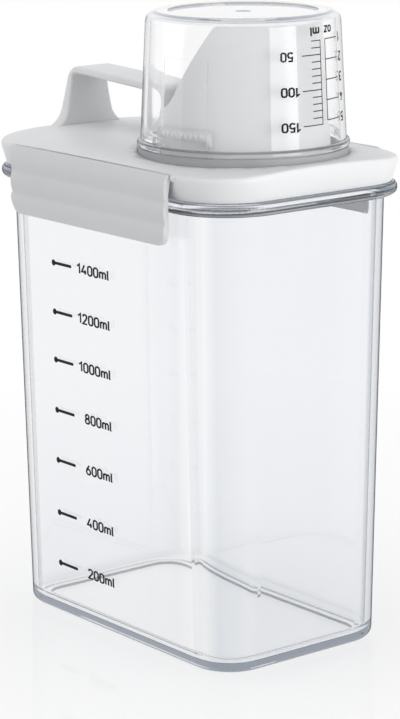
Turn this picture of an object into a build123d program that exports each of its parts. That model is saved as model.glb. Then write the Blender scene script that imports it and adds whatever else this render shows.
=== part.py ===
from build123d import *
from math import atan, cos, degrees, radians, sin, sqrt, tan
import os

# Container
base_width = 81.2
base_length = 131
base_radius = 17
body_height = 170
body_draft = 1.2
wall = 2.2
floor_thickness = 3
base_edge_radius = 3.6
inner_floor_radius = 4
foot_inset = 8
foot_depth = 1.2

# Rim bead and neck of the container
flange_reach = 4.8
flange_height = 4.8
flange_rounding = 2.2
neck_step = 0.4
neck_height = 10.4

# Lid
lid_width = 99.2
lid_length = 149
lid_radius = 24.5
skirt_flare = 3.1
skirt_drop = 7
skirt_wall = 1.9
skirt_gap = 0.3
deck_edge_height = 2.2
deck_edge_rounding = 1.4
deck_thickness = 2.4
crown_across = 2.6
crown_along = 1.5

# Plug wall of the lid and its gasket
plug_gap = 1.1
plug_wall = 1.8
plug_depth = 9
groove_depth = 0.8
groove_height = 3.2
groove_drop = 4
gasket_gap = 0.3
gasket_rib = 0.8

# Clip flaps
latch_length = 94.4
latch_drop = 24.4
latch_wall = 2
latch_head_radius = 1
latch_head_inset = 0.3
latch_head_drop = 0.5
latch_lean = 2.1
latch_lean_drop = 5.5
band_count = 3
band_bulge = 0.45
latch_corner = 6
latch_edge_rounding = 0.5
catch_reach = 2.5
catch_height = 2.2
catch_gap = 0.3
catch_inset = 4
latch_side_gap = 0.35
pin_radius = 0.6
pin_length = 1.4
pin_gap = 0.06
ear_wall = 0.6
hinge_gap = 0.3

# Measuring cup
cup_offset = -28.6
cup_mouth_radius = 37.8
cup_base_radius = 35.3
cup_height = 49.2
cup_wall = 1.9
cup_base_rounding = 4
cup_base_recess = 0.7
cup_recess_margin = 8
gate_radius = 2.9
gate_depth = 0.4
bead_radius = 38.9
bead_height = 2.8
bead_rounding = 1.2
mouth_step = 0.9
mouth_lip = 1.7
pad_thickness = 0.5
pad_height = 34.5
pad_sweep = 31.5
pad_start = 178
lug_height = 2.4
lug_reach = 2.6
lug_sweep = 27
lug_rise = 3

# Cup seal and its seat
seal_height = 2.9
seal_gap = 0.08
seal_radius = 38.5
seat_margin = 0.5
seat_rise = 0.6

# Spout
spout_base_radius = 32
spout_lip_radius = 28.6
spout_wall = 1.7
spout_height = 49
lip_depth = 14.5
scoop_rise = 25
scoop_slope = 58
scoop_radius = 16
scoop_heel_slope = 30
spout_edge_rounding = 0.5
ledge_height = 3.4
ledge_gap = 0.4
ledge_sweep = 39
ledge_start = 170
lock_turn = 40
lock_gap = 1
stop_sweep = 2.5

# Handle
handle_width = 17
handle_height = 22.8
handle_back_inset = 3.5
handle_lean = 2.4
handle_dip = 1.6
handle_front_gap = 0.8
strap_thickness = 4.8
back_leg = 7.6
front_leg = 7
handle_corner = 8
window_corner = 5.5
foot_flare = 5
handle_rounding = 2.1

# Spare length that cutting shapes reach past what they cut
overrun = 3


def taper_growth(height, angle):
    return height * tan(radians(angle))


def arc_radius(half_span, rise):
    return (half_span**2 + rise**2) / (2 * rise)


# Places worked out from the sizes above
top_width = base_width + 2 * taper_growth(body_height, body_draft)
top_length = base_length + 2 * taper_growth(body_height, body_draft)
top_radius = base_radius + taper_growth(body_height, body_draft)
flange_top = body_height + flange_height
neck_width = top_width - 2 * neck_step
neck_length = top_length - 2 * neck_step
neck_radius = top_radius - neck_step
neck_top = body_height + neck_height
mouth_width = neck_width - 2 * wall
mouth_length = neck_length - 2 * wall
mouth_radius = neck_radius - wall
plug_width = mouth_width - 2 * plug_gap
plug_length = mouth_length - 2 * plug_gap
plug_radius = mouth_radius - plug_gap
plug_bottom = neck_top - plug_depth
groove_top = neck_top - groove_drop
groove_bottom = groove_top - groove_height
skirt_width = lid_width - 2 * skirt_flare
skirt_length = lid_length - 2 * skirt_flare
skirt_radius = lid_radius - skirt_flare
skirt_angle = degrees(atan(skirt_flare / skirt_drop))
skirt_bottom = flange_top + skirt_gap
deck_edge_bottom = skirt_bottom + skirt_drop
deck_edge_top = deck_edge_bottom + deck_edge_height
skirt_ceiling = deck_edge_top - deck_thickness
crown_top = deck_edge_top + crown_across
seat_height = deck_edge_top + seat_rise
seat_radius = seal_radius + seat_margin
seat_underside = seat_height - deck_thickness
hinge_x = lid_width / 2 - latch_head_inset
hinge_z = deck_edge_top - latch_head_drop - latch_head_radius
latch_inner = hinge_x + latch_lean - latch_wall
latch_outer = hinge_x + latch_lean
latch_space = latch_length + 2 * latch_side_gap
recess_x = hinge_x - latch_head_radius - hinge_gap
ear_radius = pin_radius + pin_gap + ear_wall
ear_length = pin_length + ear_wall
spout_top = seat_height + spout_height
spout_angle = degrees(atan((spout_base_radius - spout_lip_radius) / spout_height))
bead_bottom = seat_height + seal_height
cup_top = bead_bottom + cup_height
cup_slope = (cup_mouth_radius - cup_base_radius) / cup_height
cup_axis = Axis((0, cup_offset, 0), (0, 0, 1))
lug_bottom = bead_bottom + lug_rise
lug_start = ledge_start + ledge_sweep - lock_gap - lug_sweep - lock_turn
ledge_bottom = lug_bottom + lug_height + ledge_gap
handle_front = cup_offset + bead_radius + handle_front_gap
handle_back = lid_length / 2 - handle_back_inset
handle_top = crown_top + handle_height
window_top = handle_top - strap_thickness
bead_top = bead_bottom + bead_height
cup_ceiling = cup_top - cup_wall
pad_top = bead_bottom + pad_height
ledge_radius = cup_mouth_radius - (ledge_bottom - bead_bottom) * cup_slope - cup_wall - pad_thickness - ledge_gap
scoop_knee = cup_offset - lip_depth + scoop_rise / tan(radians(scoop_slope))
scoop_start = cup_offset - lip_depth - overrun / tan(radians(scoop_slope))
rib_width = mouth_width - 2 * gasket_gap
rib_length = mouth_length - 2 * gasket_gap
rib_radius = mouth_radius - gasket_gap
catch_top = body_height - catch_gap


def cup_radius_at(height):
    return cup_mouth_radius - (height - bead_bottom) * cup_slope


def spout_radius_at(height):
    return spout_base_radius - taper_growth(height - seat_height, spout_angle)


def radial_plane(angle):
    turn = radians(angle)
    return Plane((0, cup_offset, 0), x_dir=(cos(turn), sin(turn), 0), z_dir=(sin(turn), -cos(turn), 0))


# Clear container with its rim bead, neck and foot ring
with BuildPart() as container:
    with BuildSketch(Plane.XY.offset(body_height)):
        RectangleRounded(
            top_width + 2 * flange_reach, top_length + 2 * flange_reach, top_radius + flange_reach
        )
    extrude(amount=flange_height)
    fillet(container.faces().sort_by(Axis.Z)[0].edges(), flange_rounding)
    fillet(container.faces().sort_by(Axis.Z)[-1].edges(), flange_rounding)
    with BuildSketch(Plane.XY):
        RectangleRounded(base_width, base_length, base_radius)
    extrude(amount=body_height, taper=-body_draft)
    fillet(container.faces().sort_by(Axis.Z)[0].edges(), base_edge_radius)
    with BuildSketch(Plane.XY.offset(body_height)):
        RectangleRounded(neck_width, neck_length, neck_radius)
    extrude(amount=neck_height)
    with BuildSketch(Plane.XY.offset(body_height)):
        RectangleRounded(mouth_width, mouth_length, mouth_radius)
    extrude(amount=floor_thickness - body_height, taper=body_draft, mode=Mode.SUBTRACT)
    floor_face = container.faces().filter_by(Plane.XY).group_by(Axis.Z)[1].sort_by(SortBy.AREA)[-1]
    fillet(floor_face.edges(), inner_floor_radius)
    with BuildSketch(Plane.XY.offset(body_height)):
        RectangleRounded(mouth_width, mouth_length, mouth_radius)
    extrude(amount=neck_height, mode=Mode.SUBTRACT)
    with BuildSketch(Plane.XY):
        RectangleRounded(
            base_width - 2 * foot_inset, base_length - 2 * foot_inset, base_radius - foot_inset
        )
    extrude(amount=foot_depth, mode=Mode.SUBTRACT)
    fillet(container.faces().sort_by(Axis.Z)[-1].edges(), wall / 4)


# Everything above the crowned deck: an arc across the lid, turned about an axis far below the lid
def above_crown(height):
    across = arc_radius(lid_width / 2, crown_across)
    along = arc_radius(lid_length / 2, crown_along)
    edge = height - (across - sqrt(across**2 - lid_width**2))
    with BuildPart() as block:
        with BuildSketch(Plane.XZ):
            with BuildLine():
                arc = ThreePointArc((-lid_width, edge), (0, height), (lid_width, edge))
                Polyline(arc @ 1, (lid_width, height + lid_width), (-lid_width, height + lid_width), arc @ 0)
            make_face()
        revolve(axis=Axis((0, 0, height - along), (1, 0, 0)), revolution_arc=degrees(lid_length / along))
        mirror(about=Plane.XZ)
    return block.part


crown_cut = above_crown(crown_top)
ceiling_cut = above_crown(crown_top - deck_thickness)

# Space under the deck: round the plug wall with its groove, and inside it up to a crowned ceiling
with BuildPart() as under_deck:
    with BuildSketch(Plane.XY.offset(skirt_bottom)):
        RectangleRounded(
            skirt_width - 2 * skirt_wall, skirt_length - 2 * skirt_wall, skirt_radius - skirt_wall
        )
    extrude(amount=skirt_ceiling - skirt_bottom, taper=-skirt_angle)
    with BuildSketch(Plane.XY.offset(skirt_bottom - overrun)):
        RectangleRounded(plug_width, plug_length, plug_radius)
    extrude(amount=skirt_ceiling + 2 * overrun - skirt_bottom, mode=Mode.SUBTRACT)
    with BuildSketch(Plane.XY.offset(groove_bottom)):
        RectangleRounded(mouth_width, mouth_length, mouth_radius)
        RectangleRounded(
            plug_width - 2 * groove_depth,
            plug_length - 2 * groove_depth,
            plug_radius - groove_depth,
            mode=Mode.SUBTRACT,
        )
    extrude(amount=groove_height)
with BuildPart() as inside_plug:
    with BuildSketch(Plane.XY.offset(plug_bottom - overrun)):
        RectangleRounded(plug_width - 2 * plug_wall, plug_length - 2 * plug_wall, plug_radius - plug_wall)
    extrude(amount=crown_top + overrun - plug_bottom)
    add(ceiling_cut, mode=Mode.SUBTRACT)
    with BuildSketch(Plane.XY.offset(seat_underside)):
        with Locations((0, cup_offset)):
            Circle(seat_radius + deck_thickness)
    extrude(amount=crown_top - seat_underside, mode=Mode.SUBTRACT)

# Spout: a tapered tube cut by a scoop that is steep at the lip, bends and runs out at the heel
with BuildPart() as spout:
    with BuildSketch(Plane.XY.offset(seat_height)):
        with Locations((0, cup_offset)):
            Circle(spout_base_radius)
            Circle(spout_base_radius - spout_wall, mode=Mode.SUBTRACT)
    extrude(amount=spout_height, taper=spout_angle)
    with BuildSketch(Plane.YZ):
        with BuildLine():
            face_line = Line((scoop_start, spout_top + overrun), (scoop_knee, spout_top - scoop_rise))
            bend = JernArc(face_line @ 1, face_line % 1, scoop_radius, scoop_slope - scoop_heel_slope)
            heel_line = Line(bend @ 1, (bend @ 1) + (bend % 1) * lid_width)
            Polyline(heel_line @ 1, ((heel_line @ 1).X, spout_top + overrun), face_line @ 0)
        make_face()
    extrude(amount=spout_base_radius, both=True, mode=Mode.SUBTRACT)

# Handle: an arch along the lid, with a window for the fingers
with BuildPart() as handle:
    with BuildSketch(Plane.YZ):
        with BuildLine():
            Polyline(
                (handle_front, skirt_ceiling),
                (handle_front, handle_top - handle_dip),
                (handle_back - handle_lean - handle_corner, handle_top),
                (handle_back - handle_lean, handle_top),
                (handle_back, skirt_ceiling),
                close=True,
            )
        make_face()
        fillet(vertices().sort_by(Axis.X)[-2], handle_corner)
    extrude(amount=handle_width / 2, both=True)
    with BuildSketch(Plane.YZ):
        with BuildLine():
            Polyline(
                (handle_front + front_leg, skirt_ceiling),
                (handle_front + front_leg, window_top - handle_dip),
                (handle_back - back_leg - handle_lean, window_top),
                (handle_back - back_leg, skirt_ceiling),
                close=True,
            )
        make_face()
        fillet(vertices().group_by(Axis.Y)[-2:], window_corner)
    extrude(amount=handle_width / 2, both=True, mode=Mode.SUBTRACT)
    long_edges = handle.faces().filter_by(Axis.X).edges() - handle.faces().sort_by(Axis.Z)[0].edges()
    fillet(long_edges - handle.faces().sort_by(Axis.Z)[1].edges(), handle_rounding)

# Lid: skirt, crowned deck, plug wall with its groove, cup seat, spout, flap recesses and handle
with BuildPart() as lid:
    with BuildSketch(Plane.XY.offset(skirt_bottom)):
        RectangleRounded(skirt_width, skirt_length, skirt_radius)
    extrude(amount=skirt_drop, taper=-skirt_angle)
    with BuildSketch(Plane.XY.offset(deck_edge_bottom)):
        RectangleRounded(lid_width, lid_length, lid_radius)
    extrude(amount=crown_top + overrun - deck_edge_bottom)
    add(crown_cut, mode=Mode.SUBTRACT)
    fillet(lid.faces().sort_by(Axis.Z)[-1].edges(), deck_edge_rounding)
    with BuildSketch(Plane.XY.offset(plug_bottom)):
        RectangleRounded(plug_width, plug_length, plug_radius)
    extrude(amount=deck_edge_bottom - plug_bottom)

    # Flat seat for the cup's seal, sunk into the crown
    with BuildSketch(Plane.XY.offset(seat_height)):
        with Locations((0, cup_offset)):
            Circle(seat_radius)
    extrude(amount=crown_top - seat_height, mode=Mode.SUBTRACT)
    add(handle.part)
    add(under_deck.part, mode=Mode.SUBTRACT)
    add(inside_plug.part, mode=Mode.SUBTRACT)
    with BuildSketch(Plane.XY.offset(seat_underside - overrun)):
        with Locations((0, cup_offset)):
            Circle(spout_base_radius - spout_wall)
    extrude(amount=deck_thickness + 2 * overrun, mode=Mode.SUBTRACT)
    add(spout.part)

    # Ledges that the cup's lugs turn under, each with a stop at its end
    for half_turn in (0, 180):
        for start, sweep, bottom in (
            (ledge_start, ledge_sweep, ledge_bottom),
            (ledge_start + ledge_sweep, stop_sweep, lug_bottom),
        ):
            with BuildSketch(radial_plane(start + half_turn)):
                with BuildLine():
                    Polyline(
                        (spout_radius_at(ledge_bottom) - spout_wall / 2, bottom),
                        (ledge_radius, bottom),
                        (ledge_radius, ledge_bottom + ledge_height),
                        (spout_radius_at(ledge_bottom) - spout_wall / 2, ledge_bottom + ledge_height),
                        close=True,
                    )
                make_face()
            revolve(axis=cup_axis, revolution_arc=sweep)

    # Ears at both ends of each flap, with the holes for its hinge pins
    for side in (-1, 1):
        for start in (latch_space / 2 - overrun, -latch_space / 2 - ear_length):
            with BuildSketch(Plane.XZ.offset(start)):
                with Locations((side * hinge_x, hinge_z)):
                    Circle(ear_radius)
            extrude(amount=ear_length + overrun)
        with BuildSketch(Plane.XZ.offset(-latch_space / 2 - pin_length)):
            with Locations((side * hinge_x, hinge_z)):
                Circle(pin_radius + pin_gap)
        extrude(amount=latch_space + 2 * pin_length, mode=Mode.SUBTRACT)

    # Recess along each long side for a clip flap, with a round bed for its hinge head
    for side in (-1, 1):
        with BuildSketch(Plane.XZ.offset(-latch_space / 2)):
            with Locations((side * hinge_x, hinge_z)):
                Circle(latch_head_radius + hinge_gap)
            with Locations((side * (recess_x + overrun), hinge_z)):
                Rectangle(2 * overrun, 2 * skirt_drop, align=(Align.CENTER, Align.MAX))
            with Locations((side * (hinge_x + overrun), hinge_z)):
                Rectangle(2 * overrun, 2 * overrun, align=(Align.CENTER, Align.MIN))
        extrude(amount=latch_space, mode=Mode.SUBTRACT)

# Gasket in the groove of the plug wall, with two sealing ribs
with BuildPart() as lid_gasket:
    for bottom, height, width, length, radius in (
        (groove_bottom, groove_height, plug_width, plug_length, plug_radius),
        (groove_bottom, gasket_rib, rib_width, rib_length, rib_radius),
        (groove_top - gasket_rib, gasket_rib, rib_width, rib_length, rib_radius),
    ):
        with BuildSketch(Plane.XY.offset(bottom)):
            RectangleRounded(width, length, radius)
            RectangleRounded(
                plug_width - 2 * groove_depth,
                plug_length - 2 * groove_depth,
                plug_radius - groove_depth,
                mode=Mode.SUBTRACT,
            )
        extrude(amount=height)

# Flat ring that seals the cup on its seat
with BuildPart() as cup_seal:
    with BuildSketch(Plane.XY.offset(seat_height)):
        with Locations((0, cup_offset)):
            Circle(seal_radius)
            Circle(cup_mouth_radius - mouth_step + seal_gap, mode=Mode.SUBTRACT)
    extrude(amount=seal_height)

# Clear measuring cup, upside down over the spout
with BuildPart() as measuring_cup:
    with BuildSketch(radial_plane(0)):
        with BuildLine():
            Polyline(
                (0, cup_top - cup_base_recess - gate_depth),
                (gate_radius, cup_top - cup_base_recess - gate_depth),
                (gate_radius, cup_top - cup_base_recess),
                (cup_base_radius - cup_recess_margin, cup_top - cup_base_recess),
                (cup_base_radius - cup_recess_margin, cup_top),
                (cup_base_radius, cup_top),
                (cup_radius_at(bead_top), bead_top),
                (bead_radius, bead_top),
                (bead_radius, bead_bottom),
                (cup_mouth_radius - mouth_step, bead_bottom),
                (cup_mouth_radius - mouth_step, bead_bottom - mouth_lip),
                (cup_mouth_radius - cup_wall, bead_bottom - mouth_lip),
                (cup_radius_at(cup_ceiling) - cup_wall, cup_ceiling),
                (0, cup_ceiling),
                close=True,
            )
        make_face()
        top_corner = vertices().group_by(Axis.Y)[-1].sort_by(Axis.X)[-1]
        fillet(top_corner, cup_base_rounding)
        fillet(vertices().filter_by(lambda v: abs(v.Y - cup_ceiling) < seal_gap).sort_by(Axis.X)[-1],
               cup_base_rounding - cup_wall)
        fillet(vertices().filter_by(lambda v: abs(v.X - bead_radius) < seal_gap), bead_rounding)
    revolve(axis=cup_axis)

    # Thicker pads on the inside of the wall, and the lugs that lock the cup
    for half_turn in (0, 180):
        with BuildSketch(radial_plane(pad_start + half_turn)):
            with BuildLine():
                Polyline(
                    (cup_mouth_radius - cup_wall / 2, bead_bottom),
                    (cup_mouth_radius - cup_wall - pad_thickness, bead_bottom),
                    (cup_radius_at(pad_top) - cup_wall - pad_thickness, pad_top),
                    (cup_radius_at(pad_top) - cup_wall / 2, pad_top),
                    close=True,
                )
            make_face()
        revolve(axis=cup_axis, revolution_arc=pad_sweep)
        with BuildSketch(radial_plane(lug_start + half_turn)):
            with BuildLine():
                Polyline(
                    (cup_mouth_radius - cup_wall / 2, lug_bottom),
                    (cup_mouth_radius - cup_wall - lug_reach, lug_bottom),
                    (cup_mouth_radius - cup_wall - lug_reach, lug_bottom + lug_height),
                    (cup_mouth_radius - cup_wall / 2, lug_bottom + lug_height),
                    close=True,
                )
            make_face()
        revolve(axis=cup_axis, revolution_arc=lug_sweep)

# Clip flap of the right side: a round hinge head, three convex bands and a catch under the rim bead
with BuildPart() as latch_right:
    with BuildSketch(Plane.XZ.offset(-latch_length / 2)):
        with BuildLine():
            edge_points = [(hinge_x + latch_head_radius, hinge_z)]
            for band in range(1, band_count + 1):
                edge_points.append((latch_outer - band_bulge, hinge_z - latch_drop * band / band_count))
            for upper, lower in zip(edge_points, edge_points[1:]):
                middle = ((upper[0] + lower[0]) / 2 + band_bulge, (upper[1] + lower[1]) / 2)
                ThreePointArc(upper, middle, lower)
            Polyline(
                edge_points[-1],
                (latch_inner, hinge_z - latch_drop),
                (latch_inner, hinge_z - latch_lean_drop),
                (hinge_x - latch_head_radius, hinge_z),
                edge_points[0],
            )
        make_face()
        with Locations((hinge_x, hinge_z)):
            Circle(latch_head_radius)
    extrude(amount=latch_length)
    fillet(latch_right.faces().sort_by(Axis.Z)[0].edges().filter_by(Axis.X), latch_corner)
    with BuildSketch(Plane.XZ.offset(catch_inset - latch_length / 2)):
        with BuildLine():
            Polyline(
                (latch_inner + latch_wall / 2, catch_top),
                (latch_inner - catch_reach, catch_top),
                (latch_inner - catch_reach, catch_top - catch_height / 3),
                (latch_inner, catch_top - catch_height),
                (latch_inner + latch_wall / 2, catch_top - catch_height),
                close=True,
            )
        make_face()
    extrude(amount=latch_length - 2 * catch_inset)
    with BuildSketch(Plane.XZ.offset(-latch_length / 2 - pin_length)):
        with Locations((hinge_x, hinge_z)):
            Circle(pin_radius)
    extrude(amount=latch_length + 2 * pin_length)

# The left flap is the mirror of the right one
with BuildPart() as latch_left:
    add(latch_right.part)
    mirror(about=Plane.YZ, mode=Mode.REPLACE)

container.part.label = "container"
lid.part.label = "lid"
lid_gasket.part.label = "lid_gasket"
cup_seal.part.label = "cup_seal"
measuring_cup.part.label = "measuring_cup"
latch_left.part.label = "latch_left"
latch_right.part.label = "latch_right"

os.makedirs("parts", exist_ok=True)
export_step(container.part, "parts/container.step")
export_step(lid.part, "parts/lid.step")
export_step(lid_gasket.part, "parts/lid_gasket.step")
export_step(cup_seal.part, "parts/cup_seal.step")
export_step(measuring_cup.part, "parts/measuring_cup.step")
export_step(latch_left.part, "parts/latch_left.step")
export_step(latch_right.part, "parts/latch_right.step")
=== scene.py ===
import math

import bmesh
import bpy
from mathutils import Matrix, Vector
from mathutils.bvhtree import BVHTree


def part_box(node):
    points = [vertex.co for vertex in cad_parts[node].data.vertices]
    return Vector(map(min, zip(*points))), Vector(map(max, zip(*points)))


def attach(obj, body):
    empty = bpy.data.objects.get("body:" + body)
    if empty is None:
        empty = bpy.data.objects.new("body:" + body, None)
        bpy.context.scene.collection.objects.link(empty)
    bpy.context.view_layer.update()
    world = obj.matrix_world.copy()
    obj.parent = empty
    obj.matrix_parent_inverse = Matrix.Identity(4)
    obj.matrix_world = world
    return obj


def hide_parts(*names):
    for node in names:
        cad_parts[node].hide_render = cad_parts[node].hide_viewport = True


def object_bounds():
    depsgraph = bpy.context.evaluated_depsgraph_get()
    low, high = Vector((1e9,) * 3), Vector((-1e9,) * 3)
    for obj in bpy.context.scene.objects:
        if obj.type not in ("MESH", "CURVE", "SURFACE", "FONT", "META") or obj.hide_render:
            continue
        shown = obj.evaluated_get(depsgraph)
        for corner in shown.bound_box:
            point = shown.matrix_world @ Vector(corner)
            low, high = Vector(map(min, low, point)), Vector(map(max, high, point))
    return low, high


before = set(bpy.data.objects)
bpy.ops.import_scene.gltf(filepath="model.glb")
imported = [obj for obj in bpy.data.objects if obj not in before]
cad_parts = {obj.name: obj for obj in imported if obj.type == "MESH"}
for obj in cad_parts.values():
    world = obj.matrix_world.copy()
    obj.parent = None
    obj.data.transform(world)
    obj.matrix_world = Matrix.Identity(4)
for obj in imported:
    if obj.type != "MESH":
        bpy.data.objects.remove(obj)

MM = 0.001
cad_low, cad_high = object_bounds()

# Camera, as the photograph was taken
CAMERA_AZIMUTH = -38.405
CAMERA_ELEVATION = 13.172
CAMERA_DISTANCE = 1.0306
CAMERA_ROLL = -0.433
CAMERA_TARGET = Vector((0.00162, 0, 0.1016))
CAMERA_LENS = 135.37

# Print on the container: heights of the marks, and places along the wall
BODY_MARKS = {1400: 140.4, 1200: 121.4, 1000: 102.6, 800: 82.7, 600: 62.7, 400: 41.6, 200: 21.1}
BAR_START = 32.5
BAR_END = 21.7
BAR_THICKNESS = 1.15
BAR_KNOB_RADIUS = 1.2
TEXT_END = -2.2
TEXT_HEIGHT = 3.5
TEXT_DIGIT_WIDTH = 3.1
TEXT_UNIT_WIDTH = 7.3
TEXT_DROP = -0.1
BAR_STEPS = 3
# The marks lean back with the wall's draft: this share of their height over the start
MARK_LEAN = 0.0227
MARK_LEAN_START = 87

# Print on the cup: heights, and angles from the front turning to the right
CUP_MM_PER_DEGREE = 0.64
CUP_LINE_WIDTH = 0.34
ML_LINE_ANGLE = 10
ML_SHORT_ANGLE = 2.7
ML_LONG_ANGLE = -4.5
ML_TEXT_ANGLE = -18
ML_FIRST = 30
ML_LAST = 150
ML_STEP = 10
ML_LONG_STEP = 50
ML_TOP = 228.3
ML_BOTTOM = 198.5
OZ_LINE_ANGLE = 14.5
OZ_RUNG_ANGLE = 28
OZ_TEXT_ANGLE = 31
OZ_COUNT = 5
OZ_TOP = 228.5
OZ_BOTTOM = 199.7
CUP_TEXT_HEIGHT = 3
CUP_DIGIT_WIDTH = 2.45
ONE_SHARE = 0.5
UNIT_BOTTOM = 230
# Each unit's angle at its left and its width, in degrees
CUP_UNITS = {"ml": (2, 7.5), "oz": (14.3, 7)}
UPRIGHT_STEPS = 12
LEVEL_STEPS = 8

# Strokes of the numbers and units, after the width of each, in shares of a number's height
GLYPHS = {
    "0": (0.6, [
        [(0.3, 1), (0.14, 0.95), (0.05, 0.8), (0.05, 0.2), (0.14, 0.05), (0.3, 0), (0.46, 0.05),
         (0.55, 0.2), (0.55, 0.8), (0.46, 0.95), (0.3, 1)],
    ]),
    "1": (0.42, [
        [(0.02, 0.74), (0.32, 1), (0.32, 0)],
    ]),
    "2": (0.6, [
        [(0.05, 0.76), (0.1, 0.92), (0.24, 1), (0.4, 0.99), (0.53, 0.88), (0.54, 0.7),
         (0.44, 0.5), (0.05, 0), (0.58, 0)],
    ]),
    "3": (0.6, [
        [(0.05, 0.86), (0.18, 1), (0.4, 1), (0.53, 0.88), (0.53, 0.66), (0.4, 0.54),
         (0.22, 0.54)],
        [(0.36, 0.54), (0.55, 0.42), (0.56, 0.16), (0.42, 0), (0.16, 0), (0.03, 0.14)],
    ]),
    "4": (0.62, [
        [(0.38, 1), (0.04, 0.26), (0.62, 0.26)],
        [(0.46, 0.5), (0.46, 0)],
    ]),
    "5": (0.6, [
        [(0.52, 1), (0.12, 1), (0.08, 0.56), (0.3, 0.62), (0.5, 0.53), (0.56, 0.32), (0.5, 0.1),
         (0.32, 0), (0.12, 0.04), (0.04, 0.17)],
    ]),
    "6": (0.6, [
        [(0.42, 1), (0.14, 0.6), (0.05, 0.33), (0.09, 0.12), (0.22, 0), (0.4, 0), (0.53, 0.12),
         (0.55, 0.36), (0.45, 0.54), (0.28, 0.58), (0.13, 0.5)],
    ]),
    "8": (0.6, [
        [(0.3, 0.54), (0.12, 0.63), (0.08, 0.82), (0.17, 0.96), (0.3, 1), (0.43, 0.96),
         (0.52, 0.82), (0.48, 0.63), (0.3, 0.54)],
        [(0.3, 0.54), (0.1, 0.44), (0.04, 0.24), (0.12, 0.05), (0.3, 0), (0.48, 0.05),
         (0.56, 0.24), (0.5, 0.44), (0.3, 0.54)],
    ]),
    "m": (0.84, [
        [(0.06, 0), (0.06, 0.7)],
        [(0.06, 0.54), (0.18, 0.68), (0.32, 0.68), (0.42, 0.56), (0.42, 0)],
        [(0.42, 0.54), (0.54, 0.68), (0.68, 0.68), (0.78, 0.56), (0.78, 0)],
    ]),
    "l": (0.2, [
        [(0.07, 1), (0.07, 0.12), (0.16, 0)],
    ]),
    "o": (0.56, [
        [(0.28, 0.7), (0.12, 0.64), (0.05, 0.5), (0.05, 0.2), (0.12, 0.06), (0.28, 0),
         (0.44, 0.06), (0.51, 0.2), (0.51, 0.5), (0.44, 0.64), (0.28, 0.7)],
    ]),
    "z": (0.5, [
        [(0.04, 0.68), (0.46, 0.68), (0.04, 0.02), (0.48, 0.02)],
    ]),
}
LETTER_GAP = 0.15
STROKE_SHARE = 0.2
MITRE_LIMIT = 0.5

# Lid as the photograph shows it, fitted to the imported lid: foot of the skirt, edge and crown
SKIRT_HALF_WIDTH = 46.5
SKIRT_HALF_LENGTH = 71.4
SKIRT_RADIUS = 21.4
EDGE_SQUEEZE = 0.63
CROWN_TOP = 186.9
CROWN_MARGIN = 0.3
WELD_DISTANCE = 0.000001

# Handle: outer and inner outline along the lid, and its width
HANDLE_OUTER = [(10.9, 184.9, 0), (10.9, 206.3, 4), (68.7, 208.8, 7), (71.9, 184.9, 0)]
HANDLE_INNER = [(14.5, 184.9, 0), (14.5, 203.3, 6), (66, 205.8, 2), (65.8, 184.9, 0)]
# Stretches of the outline longer than this are cut into parts
HANDLE_LONG_STRETCH = 8.2
HANDLE_PARTS = 8
HANDLE_HALF_WIDTH = 8.2
HANDLE_FLARE = 5
HANDLE_SAG = 0.7
HANDLE_TOP = 208.8
HANDLE_DROP = 26.9
FOOT_FLARE = 2.2
FOOT_FLARE_TOP = 190.5
FOOT_FLARE_HEIGHT = 4.5
HANDLE_ROUNDING = 1.1

# Spout: a tapered wall cut by a scoop that is steep at the lip, bends and runs out at the heel
SPOUT_CENTRE = -28.6
SPOUT_FOOT = 184.9
SPOUT_TOP = 233.9
SPOUT_FOOT_RADIUS = 32.05
SPOUT_TOP_RADIUS = 28.65
SPOUT_WALL = 1.8
SPOUT_SIDES = 128
SPOUT_LEVELS = 16
RIM_PASSES = 6
LIP_DEPTH = 14.5
SCOOP_RISE = 25
SCOOP_SLOPE = 58
SCOOP_RADIUS = 16
SCOOP_HEEL_SLOPE = 30
RIM_ROUNDING = 0.5

# Clip flap: its hinge line, its outline across, from the hinge, and its length
HINGE_X = 49.3
HINGE_Z = 182.8
FLAP_HALF_LENGTH = 47
FLAP_BOTTOM = 158.4
FLAP_OUTER = 1.55
FLAP_WALL = 2
FLAP_BANDS = 3
FLAP_BULGE = 0.72
FLAP_CORNER = 4.5
FLAP_ROUNDING = 0.35
CATCH_TOP = 169.6
CATCH_HEIGHT = 3
CATCH_REACH = 1.6
CATCH_INSET = 3
FLAP_CORNER_STEPS = 6
BAND_STEPS = 8
# Inner face of the flap, and the height where its last band starts
FLAP_INNER = HINGE_X + FLAP_OUTER + FLAP_BULGE / 2 - FLAP_WALL
FLAP_LAST_BAND = HINGE_Z + (FLAP_BOTTOM - HINGE_Z) * (FLAP_BANDS - 1) / FLAP_BANDS
# From the hinge line: the round of the head by angles in radians, its neck, and the way inside
HEAD_RADIUS = 1.24
HEAD_ANGLES = (2.9, 2.5, 2.1, 1.7, 1.3)
NECK_OUT = 0.85
NECK_RISE = 0.75
FIRST_BAND_OUT = 1.05
INSIDE_DROP = 6
INSIDE_TOP_BACK = 1.1
INSIDE_TOP_DROP = 0.6

# Painted shade: dark lines in the container's rim and foot and in the cup's bead, where each
# starts and ends, and its stops between them as (share of the height, darkness)
RIM_HEIGHTS = (169.5, 175.5)
FOOT_HEIGHTS = (0, 1.2)
BEAD_HEIGHTS = (187.5, 191.5)
RIM_SHADE_BANDS = [
    (0.06, 0), (0.1, 0.85), (0.15, 0), (0.3, 0), (0.34, 0.75), (0.4, 0.12),
    (0.52, 0.12), (0.56, 0.8), (0.61, 0), (0.76, 0), (0.8, 0.75), (0.86, 0),
]
FOOT_SHADE_BANDS = [(0.03, 0), (0.1, 0.97), (0.9, 0.97), (0.97, 0)]
BEAD_SHADE_BANDS = [(0.08, 0), (0.16, 0.6), (0.3, 0), (0.55, 0), (0.66, 0.4), (0.76, 0)]
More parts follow.
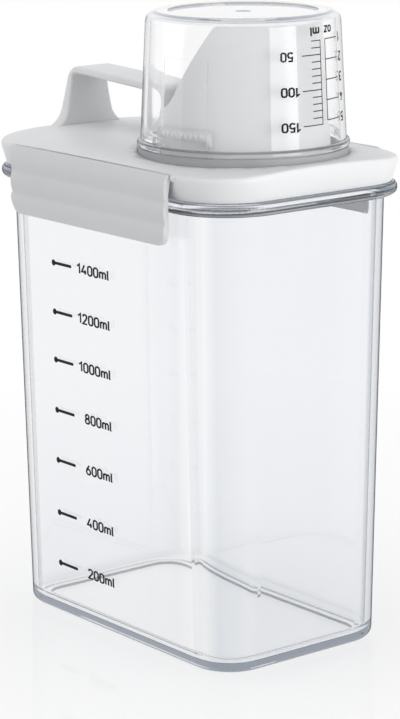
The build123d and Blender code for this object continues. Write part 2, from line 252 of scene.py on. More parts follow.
# Half the size of a box round the recess under the container, whose wall gets a painted dark line
# of shade
FOOT_HALF_WIDTH = 33.6
FOOT_HALF_LENGTH = 58.6

# Painted light: a plain glowing colour stands in for light that bounces more often than
# CAUGHT_DEPTH inside each clear plastic
BODY_PAINTED_GLOW = (0.3, 0.33, 0.38, 1)
CUP_PAINTED_GLOW = (0.48, 0.5, 0.54, 1)
CAUGHT_DEPTH = 2

# Painted shade: how dark each clear plastic is drawn as it turns away from the eye
BODY_EDGE_SHADE = [(0.48, 0), (0.72, 0.16), (0.82, 0.62), (0.9, 1)]
CUP_EDGE_SHADE = [(0.6, 0), (0.84, 0.16), (0.94, 0.7)]
FACING_BLEND = 0.5
# Only faces that stand upright get the painted dark edge
UPRIGHT_FACES = [(0.35, 1), (0.75, 0)]
# Colour of the painted shade in the dark edges and bands, and the pale tint of shadows through the
# plastic
PAINTED_SHADE_COLOUR = (0.09, 0.105, 0.13, 1)
SHADOW_PALE = (0.965, 0.97, 0.975, 1)

# Tints of the container's long walls, corners and short walls, and the one tint of the cup; the
# greyer tints of the corners and short walls are painted shade
BODY_TINTS_AND_SHADE = [(0.25, (1, 1, 1)), (0.6, (0.82, 0.84, 0.87)), (0.97, (0.875, 0.89, 0.915))]
CUP_TINTS = [(0, (0.985, 0.985, 0.99)), (1, (0.985, 0.985, 0.99))]

# Surfaces: noise scales are per metre, and depths of bumps in metres
PLASTIC_IOR = 1.49
CLEAR_GRAIN, CLEAR_ROUGHNESS = 60, 0.025
CLEAR_WAVE, CLEAR_WAVE_DEPTH, CLEAR_WAVE_STRENGTH = 35, 0.00004, 0.3
PATCH_DARK, PATCH_LIGHT = 0.3, 0.7
FINE_DETAIL = 3
MOULDED_SHADE, MOULDED_PATCHES = 0.965, 22
MOULDED_GRAIN, MOULDED_SPREAD = 90, 0.05
MOULDED_TEXTURE, MOULDED_DEPTH, MOULDED_STRENGTH = 2600, 0.00002, 0.35
MOULDED_SUBSURFACE, SUBSURFACE_RADIUS, SUBSURFACE_SCALE = 0.12, (1, 0.95, 0.9), 0.003
SILICONE_SHADE, SILICONE_PATCHES = 0.9, 40
SILICONE_GRAIN, SILICONE_ROUGHNESS = 200, (0.5, 0.62)
SILICONE_TEXTURE, SILICONE_DEPTH, SILICONE_STRENGTH = 1800, 0.00003, 0.4
INK_DARK, INK_LIGHT, INK_PATCHES = (0.004, 0.004, 0.005), (0.008, 0.008, 0.009), 900
INK_GRAIN, INK_ROUGHNESS, INK_SPECULAR = 700, (0.42, 0.55), 0.15

# Angles in degrees above which an edge is kept sharp, or rounded
SHARP_ANGLE = 35
BEVEL_ANGLE = 40
BEVEL_SEGMENTS = 3

# The print stands this far off the wall, and is this thick
INK_LIFT = 0.03
INK_THICKNESS = 0.04

# The floor lies this far below the foot, in metres, so that the two faces don't coincide
FLOOR_GAP = 0.0001
FLOOR_HALF_SIZE = 3
FLOOR_COLOUR = (0.93, 0.93, 0.935, 1)
FLOOR_ROUGHNESS = 0.05
FLOOR_SPECULAR = 0.5
# How far the floor is plain white, by the distance from the middle in metres
FLOOR_FADE = [(0.06, 0.55), (0.16, 0.72), (0.4, 1)]

# Light from all round, and the sky that gloss and glass see, by its height
WORLD_COLOUR = (0.97, 0.98, 1, 1)
WORLD_STRENGTH = 0.58
SKY_STOPS = [(0.3, (1, 1, 1)), (0.55, (0.7, 0.72, 0.75)), (0.85, (0.52, 0.54, 0.57))]

# Lamps: place and target in metres, width, height and power
LAMPS = {
    "key": ((0.55, -0.95, 0.75), (0, 0, 0.12), 0.7, 0.7, 1.2),
    "front_strip": ((0.115, -0.95, 0.25), (0, -0.03, 0.2), 0.55, 0.56, 4),
    "top": ((-0.1, 0.1, 1.1), (0, 0, 0.1), 0.9, 0.9, 2.6),
    "left": ((-0.75, 0.55, 0.4), (0, 0, 0.15), 0.6, 0.6, 1.1),
}


def new_material(name):
    material = bpy.data.materials.new(name)
    material.use_nodes = True
    tree = material.node_tree
    return material, tree, tree.nodes["Principled BSDF"]


def object_coordinates(tree):
    return tree.nodes.new("ShaderNodeTexCoord").outputs["Object"]


def noise(tree, scale, detail=2):
    node = tree.nodes.new("ShaderNodeTexNoise")
    node.inputs["Scale"].default_value = scale
    node.inputs["Detail"].default_value = detail
    tree.links.new(object_coordinates(tree), node.inputs["Vector"])
    return node.outputs["Fac"]


def ramp(tree, factor, stops):
    node = tree.nodes.new("ShaderNodeValToRGB")
    elements = node.color_ramp.elements
    while len(elements) < len(stops):
        elements.new(1)
    for element, (place, colour) in zip(elements, stops):
        element.position = place
        element.color = (*colour, 1)
    tree.links.new(factor, node.inputs["Fac"])
    return node.outputs["Color"]


def value_range(tree, factor, low, high):
    node = tree.nodes.new("ShaderNodeMapRange")
    node.inputs["To Min"].default_value = low
    node.inputs["To Max"].default_value = high
    tree.links.new(factor, node.inputs["Value"])
    return node.outputs["Result"]


def bump(tree, shader, height, distance, strength=1):
    node = tree.nodes.new("ShaderNodeBump")
    node.inputs["Distance"].default_value = distance
    node.inputs["Strength"].default_value = strength
    tree.links.new(height, node.inputs["Height"])
    tree.links.new(node.outputs["Normal"], shader.inputs["Normal"])


def math_node(tree, operation, first, second=None):
    node = tree.nodes.new("ShaderNodeMath")
    node.operation = operation
    node.use_clamp = True
    for socket, value in zip(node.inputs, (first, second)):
        if isinstance(value, (int, float)):
            socket.default_value = value
        elif value is not None:
            tree.links.new(value, socket)
    return node.outputs["Value"]


def grey_ramp(tree, factor, stops):
    return ramp(tree, factor, [(place, (grey, grey, grey)) for place, grey in stops])


def height_bands(tree, low, high, stops):
    """A share from a piece's height in millimetres: stops run from low to high."""
    split = tree.nodes.new("ShaderNodeSeparateXYZ")
    tree.links.new(object_coordinates(tree), split.inputs["Vector"])
    share = tree.nodes.new("ShaderNodeMapRange")
    share.inputs["From Min"].default_value = low * MM
    share.inputs["From Max"].default_value = high * MM
    tree.links.new(split.outputs["Z"], share.inputs["Value"])
    return grey_ramp(tree, share.outputs["Result"], stops)


def recess(tree):
    """1 within the outline of the recess under the container, and 0 outside it."""
    place = tree.nodes.new("ShaderNodeSeparateXYZ")
    tree.links.new(object_coordinates(tree), place.inputs["Vector"])
    across = math_node(tree, "ABSOLUTE", place.outputs["X"])
    along = math_node(tree, "ABSOLUTE", place.outputs["Y"])
    narrow = math_node(tree, "LESS_THAN", across, FOOT_HALF_WIDTH * MM)
    short = math_node(tree, "LESS_THAN", along, FOOT_HALF_LENGTH * MM)
    return math_node(tree, "MULTIPLY", narrow, short)


def mixed(tree, factor, first, second):
    node = tree.nodes.new("ShaderNodeMixShader")
    tree.links.new(factor, node.inputs["Fac"])
    tree.links.new(first, node.inputs[1])
    tree.links.new(second, node.inputs[2])
    return node.outputs["Shader"]


def transparent(tree, colour):
    node = tree.nodes.new("ShaderNodeBsdfTransparent")
    node.inputs["Color"].default_value = colour
    return node.outputs["BSDF"]


def emission(tree, colour):
    node = tree.nodes.new("ShaderNodeEmission")
    node.inputs["Color"].default_value = colour
    return node.outputs["Emission"]


def clear_plastic(name, edge_shade_stops, tints_and_shade, painted_glow, bands):
    """Clear plastic: painted shade as dark outlines where it turns away and as dark bands by
    height, a painted glow where light bounces on inside, pale shadows.
    """
    material, tree, shader = new_material(name)
    shader.inputs["Transmission Weight"].default_value = 1
    shader.inputs["IOR"].default_value = PLASTIC_IOR
    roughness = value_range(tree, noise(tree, CLEAR_GRAIN), 0, CLEAR_ROUGHNESS)
    tree.links.new(roughness, shader.inputs["Roughness"])
    bump(tree, shader, noise(tree, CLEAR_WAVE), CLEAR_WAVE_DEPTH, CLEAR_WAVE_STRENGTH)
    # Painted shade: the plastic is drawn darker as it turns away from the eye
    facing = tree.nodes.new("ShaderNodeLayerWeight")
    facing.inputs["Blend"].default_value = FACING_BLEND
    outline = grey_ramp(tree, facing.outputs["Facing"], edge_shade_stops)
    # Level faces, such as the floor and the top of the cup, stay clear
    geometry = tree.nodes.new("ShaderNodeNewGeometry")
    normal = tree.nodes.new("ShaderNodeSeparateXYZ")
    tree.links.new(geometry.outputs["Normal"], normal.inputs["Vector"])
    level = math_node(tree, "ABSOLUTE", normal.outputs["Z"])
    upright = grey_ramp(tree, level, UPRIGHT_FACES)
    # Light already inside the plastic crosses its faces undimmed
    entering = math_node(tree, "SUBTRACT", 1, geometry.outputs["Backfacing"])
    share = math_node(tree, "MULTIPLY", outline, math_node(tree, "MULTIPLY", upright, entering))
    # Painted shade: dark bands by height, drawn with the same dark colour as the edges
    for (low, high), stops, recess_only in bands:
        band = height_bands(tree, low, high, stops)
        if recess_only:
            wall = math_node(tree, "MULTIPLY", upright, recess(tree))
            band = math_node(tree, "MULTIPLY", band, wall)
        share = math_node(tree, "MAXIMUM", share, band)
    # Painted shade: the container's corners and short walls take a greyer tint by the way they
    # face
    ends = math_node(tree, "ABSOLUTE", normal.outputs["Y"])
    tree.links.new(ramp(tree, ends, tints_and_shade), shader.inputs["Base Color"])
    path = tree.nodes.new("ShaderNodeLightPath")
    # Painted shade: the dark edges and bands are drawn as a dark sheet that lets little light
    # through
    lined = mixed(tree, share, shader.outputs["BSDF"], transparent(tree, PAINTED_SHADE_COLOUR))
    shaded = mixed(tree, path.outputs["Is Shadow Ray"], lined, transparent(tree, SHADOW_PALE))
    # Painted light: light that bounces on between the faces comes out as a plain glowing colour
    caught = math_node(tree, "GREATER_THAN", path.outputs["Glossy Depth"], CAUGHT_DEPTH)
    surface = mixed(tree, caught, shaded, emission(tree, painted_glow))
    tree.links.new(surface, tree.nodes["Material Output"].inputs["Surface"])
    return material


def mottled(name, dark, light, patches, roughness, grain):
    """An opaque material whose colour and gloss vary a little from place to place."""
    material, tree, shader = new_material(name)
    colour = ramp(tree, noise(tree, patches), [(PATCH_DARK, dark), (PATCH_LIGHT, light)])
    tree.links.new(colour, shader.inputs["Base Color"])
    gloss = value_range(tree, noise(tree, grain), *roughness)
    tree.links.new(gloss, shader.inputs["Roughness"])
    return material, tree, shader


def moulded_plastic(name, colour, roughness):
    dark = [c * MOULDED_SHADE for c in colour]
    spread = (roughness - MOULDED_SPREAD, roughness + MOULDED_SPREAD)
    material, tree, shader = mottled(name, dark, colour, MOULDED_PATCHES, spread, MOULDED_GRAIN)
    shader.inputs["IOR"].default_value = PLASTIC_IOR
    shader.inputs["Subsurface Weight"].default_value = MOULDED_SUBSURFACE
    shader.inputs["Subsurface Radius"].default_value = SUBSURFACE_RADIUS
    shader.inputs["Subsurface Scale"].default_value = SUBSURFACE_SCALE
    texture = noise(tree, MOULDED_TEXTURE, FINE_DETAIL)
    bump(tree, shader, texture, MOULDED_DEPTH, MOULDED_STRENGTH)
    return material


def silicone(name, colour):
    dark = [c * SILICONE_SHADE for c in colour]
    material, tree, shader = mottled(
        name, dark, colour, SILICONE_PATCHES, SILICONE_ROUGHNESS, SILICONE_GRAIN
    )
    texture = noise(tree, SILICONE_TEXTURE, FINE_DETAIL)
    bump(tree, shader, texture, SILICONE_DEPTH, SILICONE_STRENGTH)
    return material


def ink(name):
    material, _, shader = mottled(
        name, INK_DARK, INK_LIGHT, INK_PATCHES, INK_ROUGHNESS, INK_GRAIN
    )
    shader.inputs["Specular IOR Level"].default_value = INK_SPECULAR
    return material


def dress(node, material):
    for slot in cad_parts[node].material_slots:
        slot.material = material


# Materials of the pieces; a painted shade band in the last list is drawn on the recess alone where
# it says True
BODY_PLASTIC = clear_plastic(
    "clear_body",
    BODY_EDGE_SHADE,
    BODY_TINTS_AND_SHADE,
    BODY_PAINTED_GLOW,
    [(RIM_HEIGHTS, RIM_SHADE_BANDS, False), (FOOT_HEIGHTS, FOOT_SHADE_BANDS, True)],
)
CUP_PLASTIC = clear_plastic(
    "clear_cup", CUP_EDGE_SHADE, CUP_TINTS, CUP_PAINTED_GLOW, [(BEAD_HEIGHTS, BEAD_SHADE_BANDS, False)]
)
WHITE = moulded_plastic("white_plastic", (0.79, 0.79, 0.79), 0.4)
# Painted shade: the flaps and their catches are a darker copy of the same white plastic
WHITE_FLAP_SHADED = moulded_plastic("white_flap", (0.69, 0.69, 0.69), 0.42)
SEAL_GREY = silicone("grey_silicone", (0.42, 0.425, 0.43))
GASKET_WHITE = silicone("pale_silicone", (0.6, 0.61, 0.62))
INK = ink("black_print")

dress("container", BODY_PLASTIC)
dress("measuring_cup", CUP_PLASTIC)
dress("cup_seal", SEAL_GREY)
dress("lid_gasket", GASKET_WHITE)


def new_piece(name, mesh, material):
    """Turns a bmesh in metres into an object of the scene."""
    bmesh.ops.recalc_face_normals(mesh, faces=mesh.faces)
    data = bpy.data.meshes.new(name)
    mesh.to_mesh(data)
    mesh.free()
    data.materials.append(material)
    piece = bpy.data.objects.new(name, data)
    bpy.context.scene.collection.objects.link(piece)
    return piece


def finish_piece(name, mesh, material, body, rounding=0):
    """Turns a bmesh in metres into a piece with rounded edges that rides a body."""
    piece = new_piece(name, mesh, material)
    piece.data.shade_smooth()
    piece.data.set_sharp_from_angle(angle=math.radians(SHARP_ANGLE))
    if rounding:
        bevel = piece.modifiers.new("rounding", "BEVEL")
        bevel.width = rounding * MM
        bevel.segments = BEVEL_SEGMENTS
        bevel.limit_method = "ANGLE"
        bevel.angle_limit = math.radians(BEVEL_ANGLE)
        bevel.harden_normals = True
    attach(piece, body)
    return piece


def skin(mesh, rows):
    """Faces between rows of points that run round a piece, and over its two ends."""
    for a, b in zip(rows, rows[1:]):
        for i in range(len(a)):
            mesh.faces.new([a[i], a[i - 1], b[i - 1], b[i]])
    mesh.faces.new(rows[0])
    mesh.faces.new(rows[-1])


def arch(share):
    """0 at both ends of a stretch and 1 in its middle."""
    return 4 * share * (1 - share)


def lid_shell():
    """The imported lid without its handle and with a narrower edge."""
    mesh = bmesh.new()
    mesh.from_mesh(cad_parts["lid"].data)
    bmesh.ops.remove_doubles(mesh, verts=mesh.verts, dist=WELD_DISTANCE)
    top = (CROWN_TOP + CROWN_MARGIN) * MM
    front = HANDLE_OUTER[0][0] * MM
    gone = []
    for face in mesh.faces:
        if face.calc_center_median().y > front and max(v.co.z for v in face.verts) > top:
            gone.append(face)
    bmesh.ops.delete(mesh, geom=gone, context="FACES")
    bmesh.ops.holes_fill(mesh, edges=[e for e in mesh.edges if e.is_boundary], sides=0)
    for vertex in mesh.verts:
        x, y = vertex.co.x / MM, vertex.co.y / MM
        reach = Vector(
            (abs(x) - SKIRT_HALF_WIDTH + SKIRT_RADIUS, abs(y) - SKIRT_HALF_LENGTH + SKIRT_RADIUS)
        )
        if min(reach) > 0:
            away = reach.normalized()
            outside = reach.length - SKIRT_RADIUS
        else:
            away = Vector((1, 0)) if reach.x > reach.y else Vector((0, 1))
            outside = max(reach) - SKIRT_RADIUS
        if outside > 0:
            back = away * outside * (1 - EDGE_SQUEEZE) * MM
            vertex.co.x -= math.copysign(back.x, x)
            vertex.co.y -= math.copysign(back.y, y)
    piece = finish_piece("lid_shell", mesh, WHITE, "lid")
    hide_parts("lid")


def rounded_path(corners, steps=8):
    """The points of an open outline from (y, z, radius) corners, with as many for each round."""
    points = []
    for i, (y, z, radius) in enumerate(corners):
        here = Vector((y, z))
        if i in (0, len(corners) - 1):
            points.append(here)
            continue
        before, after = Vector(corners[i - 1][:2]), Vector(corners[i + 1][:2])
        a, b = (before - here).normalized(), (after - here).normalized()
        reach = radius / math.tan(a.angle(b) / 2)
        for step in range(steps + 1):
            t = step / steps
            start, end = here + a * reach, here + b * reach
            points.append(start * (1 - t) ** 2 + here * 2 * t * (1 - t) + end * t**2)
    return points


def filled(points):
    """An outline with its long stretches cut into parts."""
    result = []
    for a, b in zip(points, points[1:]):
        count = HANDLE_PARTS if (b - a).length > HANDLE_LONG_STRETCH else 1
        result += [a + (b - a) * i / count for i in range(count)]
    return result + [points[-1]]


def handle():
    """The handle's arch, which widens towards its feet."""
    mesh = bmesh.new()
    rows = []
    for outer, inner in zip(
        filled(rounded_path(HANDLE_OUTER)), filled(rounded_path(HANDLE_INNER))
    ):
        row = []
        for side, (y, z) in ((-1, outer), (1, outer), (1, inner), (-1, inner)):
            share = (HANDLE_TOP - z) / HANDLE_DROP
            foot = max(0, (FOOT_FLARE_TOP - z) / FOOT_FLARE_HEIGHT)
            half = HANDLE_HALF_WIDTH + HANDLE_FLARE * share - HANDLE_SAG * arch(share)
            half += FOOT_FLARE * foot**2
            row.append(mesh.verts.new((side * half * MM, y * MM, z * MM)))
        rows.append(row)
    skin(mesh, rows)
    finish_piece("lid_handle", mesh, WHITE, "lid", HANDLE_ROUNDING)


def scoop_height(y):
    """Height of the scoop's cut over a place along the lid, both in millimetres."""
    start = SPOUT_CENTRE - LIP_DEPTH
    slope, heel = math.radians(SCOOP_SLOPE), math.radians(SCOOP_HEEL_SLOPE)
    knee = start + SCOOP_RISE / math.tan(slope)
    if y < knee:
        return min(SPOUT_TOP, SPOUT_TOP - (y - start) * math.tan(slope))
    # The bend is part of a circle with its centre above the cut
    centre_y = knee + SCOOP_RADIUS * math.sin(slope)
    centre_z = SPOUT_TOP - SCOOP_RISE + SCOOP_RADIUS * math.cos(slope)
    bend_end = centre_y - SCOOP_RADIUS * math.sin(heel)
    if y < bend_end:
        return centre_z - math.sqrt(SCOOP_RADIUS**2 - (y - centre_y) ** 2)
    return centre_z - SCOOP_RADIUS * math.cos(heel) - (y - bend_end) * math.tan(heel)


def spout_radius(z):
    """Outer radius of the spout at a height."""
    share = (z - SPOUT_FOOT) / (SPOUT_TOP - SPOUT_FOOT)
    return SPOUT_FOOT_RADIUS + (SPOUT_TOP_RADIUS - SPOUT_FOOT_RADIUS) * share


def spout():
    mesh = bmesh.new()
    rings = []
    for inset in (0, SPOUT_WALL):
        for level in range(SPOUT_LEVELS + 1):
            ring = []
            for i in range(SPOUT_SIDES):
                turn = 2 * math.pi * i / SPOUT_SIDES
                # The height of the cut and the radius there follow from each other
                top = SPOUT_TOP
                for _ in range(RIM_PASSES):
                    top = scoop_height(SPOUT_CENTRE - (spout_radius(top) - inset) * math.cos(turn))
                z = SPOUT_FOOT + (top - SPOUT_FOOT) * level / SPOUT_LEVELS
                radius = spout_radius(z) - inset
                point = (radius * math.sin(turn), SPOUT_CENTRE - radius * math.cos(turn), z)
                ring.append(mesh.verts.new([c * MM for c in point]))
            rings.append(ring)
    # Round the wall: up the outside, over the rim, down the inside and back under the foot
    order = rings[: SPOUT_LEVELS + 1] + rings[: SPOUT_LEVELS : -1]
    for a, b in zip(order, order[1:] + order[:1]):
        for i in range(SPOUT_SIDES):
            mesh.faces.new([a[i - 1], a[i], b[i], b[i - 1]])
    finish_piece("lid_spout", mesh, WHITE, "lid", RIM_ROUNDING)


def flap_profile():
    """The flap's outline as (distance out, height), from the head down and back up inside."""
    points = []
    for turn in HEAD_ANGLES:
        out, up = HEAD_RADIUS * math.cos(turn), HEAD_RADIUS * math.sin(turn)
        points.append((HINGE_X + out, HINGE_Z + up))
    points.append((HINGE_X + NECK_OUT, HINGE_Z + NECK_RISE))
    notches = [(HINGE_X + FIRST_BAND_OUT, HINGE_Z)]
    for band in range(1, FLAP_BANDS + 1):
        notches.append(
            (HINGE_X + FLAP_OUTER, HINGE_Z + (FLAP_BOTTOM - HINGE_Z) * band / FLAP_BANDS)
        )
    for (out, up), (next_out, next_up) in zip(notches, notches[1:]):
        for i in range(BAND_STEPS):
            t = i / BAND_STEPS
            bulge = FLAP_BULGE * arch(t)
            points.append((out + (next_out - out) * t + bulge, up + (next_up - up) * t))
    points.append(notches[-1])
    points.append((FLAP_INNER, FLAP_BOTTOM))
    points.append((FLAP_INNER, HINGE_Z - INSIDE_DROP))
    points.append((HINGE_X - INSIDE_TOP_BACK, HINGE_Z - INSIDE_TOP_DROP))
    return points


def flap(side, body):
    """A flap as one profile along the lid, with the corners of its last band rounded."""
    mesh = bmesh.new()
    profile = flap_profile()
    stations = []
    for i in range(FLAP_CORNER_STEPS + 1):
        turn = math.pi / 2 * i / FLAP_CORNER_STEPS
        along = FLAP_CORNER * (1 - math.cos(turn))
        stations.append((FLAP_HALF_LENGTH - along, FLAP_CORNER * (1 - math.sin(turn))))
    stations = [(-y, rise) for y, rise in stations] + [(y, rise) for y, rise in reversed(stations)]
    rows = []
    for y, rise in stations:
        squeeze = 1 - rise / (FLAP_LAST_BAND - FLAP_BOTTOM)
        row = []
        for out, z in profile:
            if z < FLAP_LAST_BAND:
                z = FLAP_LAST_BAND - (FLAP_LAST_BAND - z) * squeeze
            row.append(mesh.verts.new((side * out * MM, y * MM, z * MM)))
        rows.append(row)
    skin(mesh, rows)
    piece = finish_piece(f"{body}_flap", mesh, WHITE_FLAP_SHADED, body, FLAP_ROUNDING)
    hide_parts(body)


def catch(side, body):
    """The ridge inside a flap that reaches under the rim bead."""
    mesh = bmesh.new()
    outline = [
        (FLAP_INNER + FLAP_WALL / 2, CATCH_TOP),
        (FLAP_INNER - CATCH_REACH, CATCH_TOP),
        (FLAP_INNER - CATCH_REACH, CATCH_TOP - CATCH_HEIGHT / 3),
        (FLAP_INNER, CATCH_TOP - CATCH_HEIGHT),
        (FLAP_INNER + FLAP_WALL / 2, CATCH_TOP - CATCH_HEIGHT),
    ]
    end = FLAP_HALF_LENGTH - CATCH_INSET
    rows = []
    for y in (-end, end):
        rows.append([mesh.verts.new((side * out * MM, y * MM, z * MM)) for out, z in outline])
    skin(mesh, rows)
    finish_piece(f"{body}_catch", mesh, WHITE_FLAP_SHADED, body, FLAP_ROUNDING)


lid_shell()
handle()
spout()
for side, body in ((-1, "latch_left"), (1, "latch_right")):
    flap(side, body)
    catch(side, body)


def surface_of(node):
    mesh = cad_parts[node].data
    points = [v.co.copy() for v in mesh.vertices]
    return BVHTree.FromPolygons(points, [tuple(p.vertices) for p in mesh.polygons])


CONTAINER_SURFACE = surface_of("container")
CUP_SURFACE = surface_of("measuring_cup")
cup_low, cup_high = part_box("measuring_cup")
CUP_CENTRE = Vector(((cup_low[0] + cup_high[0]) / 2, (cup_low[1] + cup_high[1]) / 2, 0))


def on_container(across, up, lift):
    """A point on the wall: across runs with the reading direction, all in millimetres."""
    start = Vector((cad_low[0] - 1, -across * MM, up * MM))
    hit = CONTAINER_SURFACE.ray_cast(start, Vector((1, 0, 0)))[0]
    return hit - Vector((lift * MM, 0, 0))


def on_cup(angle, up, lift):
    """A point on the cup, by its angle from the front in degrees and height in millimetres."""
    turn = math.radians(angle)
    out = Vector((math.sin(turn), -math.cos(turn), 0))
    start = CUP_CENTRE + out + Vector((0, 0, up * MM))
    hit = CUP_SURFACE.ray_cast(start, -out)[0]
    return hit + out * lift * MM


def print_piece(name, shapes, place, body):
    """One piece of print: flat shapes of (points, faces), set on a wall as thin closed layers."""
    mesh = bmesh.new()
    for points, faces in shapes:
        low, high = (
            [mesh.verts.new(place(x, y, lift)) for x, y in points]
            for lift in (INK_LIFT, INK_LIFT + INK_THICKNESS)
        )
        edges = []
        for face in faces:
            mesh.faces.new([high[i] for i in face])
            mesh.faces.new([low[i] for i in reversed(face)])
            edges += zip(face, face[1:] + face[:1])
        for a, b in edges:
            if (b, a) not in edges:
                mesh.faces.new([high[b], high[a], low[a], low[b]])
    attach(new_piece(name, mesh, INK), body)


def strip(x0, y0, x1, y1, thickness, steps=1):
    """A straight bar from one point to another, upright or level, cut into steps."""
    points = []
    level = abs(x1 - x0) > abs(y1 - y0)
    for i in range(steps + 1):
        share = i / steps
        x, y = x0 + (x1 - x0) * share, y0 + (y1 - y0) * share
        for side in (-0.5, 0.5):
            points.append((x, y + side * thickness) if level else (x + side * thickness, y))
    faces = [[2 * i, 2 * i + 2, 2 * i + 3, 2 * i + 1] for i in range(steps)]
    return points, faces


def disc(x, y, radius, sides=20):
    turns = [2 * math.pi * i / sides for i in range(sides)]
    points = [(x + radius * math.cos(t), y + radius * math.sin(t)) for t in turns]
    return points, [list(range(sides))]


def stroke(path, thickness):
    """A line through points as a mitred strip, closed where it ends at its start."""
    closed = path[0] == path[-1]
    points = [Vector(p) for p in (path[:-1] if closed else path)]
    count = len(points)
    sides = []
    for i, here in enumerate(points):
        before = points[i - 1] if closed or i > 0 else None
        after = points[(i + 1) % count] if closed or i < count - 1 else None
        ways = [(here - before).normalized()] if before is not None else []
        ways += [(after - here).normalized()] if after is not None else []
        square = [Vector((-way.y, way.x)) for way in ways]
        across = sum(square, Vector((0, 0))).normalized()
        half = across * thickness / 2 / max(MITRE_LIMIT, across.dot(square[0]))
        sides += [here - half, here + half]
    faces = []
    for i in range(count if closed else count - 1):
        j = (i + 1) % count
        faces.append([2 * i, 2 * j, 2 * j + 1, 2 * i + 1])
    return [tuple(p) for p in sides], faces


def lettering(text, left, bottom, width, height, upside_down=False):
    """Numbers and units drawn in strokes, fitted to a box of the height of a number."""
    strokes = []
    pen = 0
    for letter in text:
        glyph_width, paths = GLYPHS[letter]
        for path in paths:
            strokes.append([(pen + x, y) for x, y in path])
        pen += glyph_width + LETTER_GAP
    full = pen - LETTER_GAP
    shapes = []
    for path in strokes:
        points, faces = stroke(path, STROKE_SHARE)
        shares = [(x / full, y) for x, y in points]
        if upside_down:
            shares = [(1 - u, 1 - v) for u, v in shares]
        shapes.append(([(left + u * width, bottom + v * height) for u, v in shares], faces))
    return shapes


# Graduations of the container, on the long wall under the left flap
shapes = []
for number, up in BODY_MARKS.items():
    shift = (up - MARK_LEAN_START) * MARK_LEAN
    start, end = shift - BAR_START, shift - BAR_END
    shapes.append(strip(start, up, end, up, BAR_THICKNESS, BAR_STEPS))
    shapes.append(disc(start, up, BAR_KNOB_RADIUS))
    shapes.append(disc(end, up, BAR_THICKNESS / 2))
    width = TEXT_DIGIT_WIDTH * len(str(number)) + TEXT_UNIT_WIDTH
    left, bottom = shift - TEXT_END - width, up - TEXT_DROP - TEXT_HEIGHT / 2
    shapes += lettering(f"{number}ml", left, bottom, width, TEXT_HEIGHT)
print_piece("container_scale", shapes, on_container, "container")

# Scale of the cup, printed for reading with the cup's mouth up
upright_width = CUP_LINE_WIDTH / CUP_MM_PER_DEGREE
digit_width = CUP_DIGIT_WIDTH / CUP_MM_PER_DEGREE
shapes = [
    strip(ML_LINE_ANGLE, ML_BOTTOM, ML_LINE_ANGLE, ML_TOP, upright_width, UPRIGHT_STEPS),
    strip(OZ_LINE_ANGLE, OZ_BOTTOM, OZ_LINE_ANGLE, OZ_TOP, upright_width, UPRIGHT_STEPS),
]
for amount in range(ML_FIRST, ML_LAST + ML_STEP, ML_STEP):
    up = ML_TOP + (ML_BOTTOM - ML_TOP) * (amount - ML_FIRST) / (ML_LAST - ML_FIRST)
    long_mark = amount % ML_LONG_STEP == 0
    end = ML_LONG_ANGLE if long_mark else ML_SHORT_ANGLE
    shapes.append(strip(end, up, ML_LINE_ANGLE, up, CUP_LINE_WIDTH, LEVEL_STEPS))
    if long_mark:
        text = str(amount)
        bottom, width = up - CUP_TEXT_HEIGHT / 2, digit_width * len(text)
        shapes += lettering(text, ML_TEXT_ANGLE, bottom, width, CUP_TEXT_HEIGHT, True)
for i in range(OZ_COUNT):
    up = OZ_TOP + (OZ_BOTTOM - OZ_TOP) * i / (OZ_COUNT - 1)
    shapes.append(strip(OZ_LINE_ANGLE, up, OZ_RUNG_ANGLE, up, CUP_LINE_WIDTH, LEVEL_STEPS))
    bottom, width = up - CUP_TEXT_HEIGHT / 2, digit_width * (ONE_SHARE if i == 0 else 1)
    shapes += lettering(str(i + 1), OZ_TEXT_ANGLE, bottom, width, CUP_TEXT_HEIGHT, True)
for unit, (left, width) in CUP_UNITS.items():
    shapes += lettering(unit, left, UNIT_BOTTOM, width, CUP_TEXT_HEIGHT, True)
print_piece("cup_scale", shapes, on_cup, "measuring_cup")


def floor_material():
    """A pale glossy floor that turns plain white with distance, to the eye and through glass."""
    material, tree, shader = new_material("floor")
    shader.inputs["Base Color"].default_value = FLOOR_COLOUR
    shader.inputs["Roughness"].default_value = FLOOR_ROUGHNESS
    shader.inputs["Specular IOR Level"].default_value = FLOOR_SPECULAR
    distance = tree.nodes.new("ShaderNodeVectorMath")
    distance.operation = "LENGTH"
    tree.links.new(object_coordinates(tree), distance.inputs[0])
    fade = grey_ramp(tree, distance.outputs["Value"], FLOOR_FADE)
    path = tree.nodes.new("ShaderNodeLightPath")
    seen = path.outputs["Is Camera Ray"]
    for kind in ("Is Transmission Ray", "Is Glossy Ray"):
        seen = math_node(tree, "MAXIMUM", seen, path.outputs[kind])
    share = math_node(tree, "MULTIPLY", fade, seen)
    surface = mixed(tree, share, shader.outputs["BSDF"], emission(tree, (1, 1, 1, 1)))
    tree.links.new(surface, tree.nodes["Material Output"].inputs["Surface"])
    return material


def make_floor():
    mesh = bpy.data.meshes.new("floor")
    size = FLOOR_HALF_SIZE
    corners = [(-size, -size, 0), (size, -size, 0), (size, size, 0), (-size, size, 0)]
    mesh.from_pydata(corners, [], [(0, 1, 2, 3)])
    floor = bpy.data.objects.new("floor", mesh)
    floor.location = (0, 0, cad_low[2] - FLOOR_GAP)
    bpy.context.scene.collection.objects.link(floor)
    mesh.materials.append(floor_material())


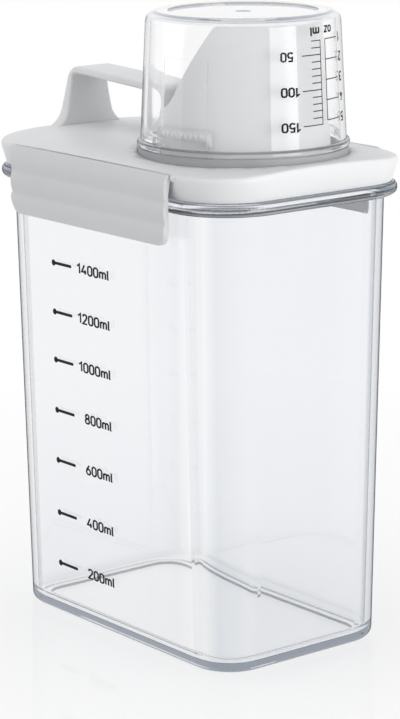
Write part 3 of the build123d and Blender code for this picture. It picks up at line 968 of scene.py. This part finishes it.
def make_world():
    """Even light: the camera sees white, and gloss and glass see a sky that dims upwards."""
    world = bpy.data.worlds.new("studio")
    bpy.context.scene.world = world
    world.use_nodes = True
    tree = world.node_tree
    even = tree.nodes["Background"]
    even.inputs["Color"].default_value = WORLD_COLOUR
    even.inputs["Strength"].default_value = WORLD_STRENGTH
    place = tree.nodes.new("ShaderNodeTexCoord")
    split = tree.nodes.new("ShaderNodeSeparateXYZ")
    tree.links.new(place.outputs["Generated"], split.inputs["Vector"])
    sky = tree.nodes.new("ShaderNodeBackground")
    tree.links.new(ramp(tree, split.outputs["Z"], SKY_STOPS), sky.inputs["Color"])
    white = tree.nodes.new("ShaderNodeBackground")
    white.inputs["Color"].default_value = (1, 1, 1, 1)
    path = tree.nodes.new("ShaderNodeLightPath")
    clear = math_node(
        tree, "MAXIMUM", path.outputs["Is Glossy Ray"], path.outputs["Is Transmission Ray"]
    )
    around = mixed(tree, clear, even.outputs["Background"], sky.outputs["Background"])
    surface = mixed(tree, path.outputs["Is Camera Ray"], around, white.outputs["Background"])
    tree.links.new(surface, tree.nodes["World Output"].inputs["Surface"])


def softbox(name, place, target, width, height, power):
    data = bpy.data.lights.new(name, "AREA")
    data.shape = "RECTANGLE"
    data.size = width
    data.size_y = height
    data.energy = power
    lamp = bpy.data.objects.new(name, data)
    lamp.location = place
    lamp.rotation_euler = (Vector(target) - Vector(place)).to_track_quat("-Z", "Y").to_euler()
    lamp.visible_camera = False
    lamp.visible_transmission = False
    bpy.context.scene.collection.objects.link(lamp)


def make_camera():
    azimuth, elevation = math.radians(CAMERA_AZIMUTH), math.radians(CAMERA_ELEVATION)
    back = Vector(
        (
            math.sin(azimuth) * math.cos(elevation),
            -math.cos(azimuth) * math.cos(elevation),
            math.sin(elevation),
        )
    )
    data = bpy.data.cameras.new("camera")
    data.lens = CAMERA_LENS
    camera = bpy.data.objects.new("camera", data)
    facing = (-back).to_track_quat("-Z", "Y").to_matrix().to_4x4()
    roll = Matrix.Rotation(math.radians(CAMERA_ROLL), 4, "Z")
    place = Matrix.Translation(CAMERA_TARGET + back * CAMERA_DISTANCE)
    camera.matrix_world = place @ facing @ roll
    bpy.context.scene.collection.objects.link(camera)
    bpy.context.scene.camera = camera


make_floor()
make_world()
for name, (place, target, width, height, power) in LAMPS.items():
    softbox(name, place, target, width, height, power)
make_camera()
bpy.context.scene.view_settings.view_transform = "Standard"
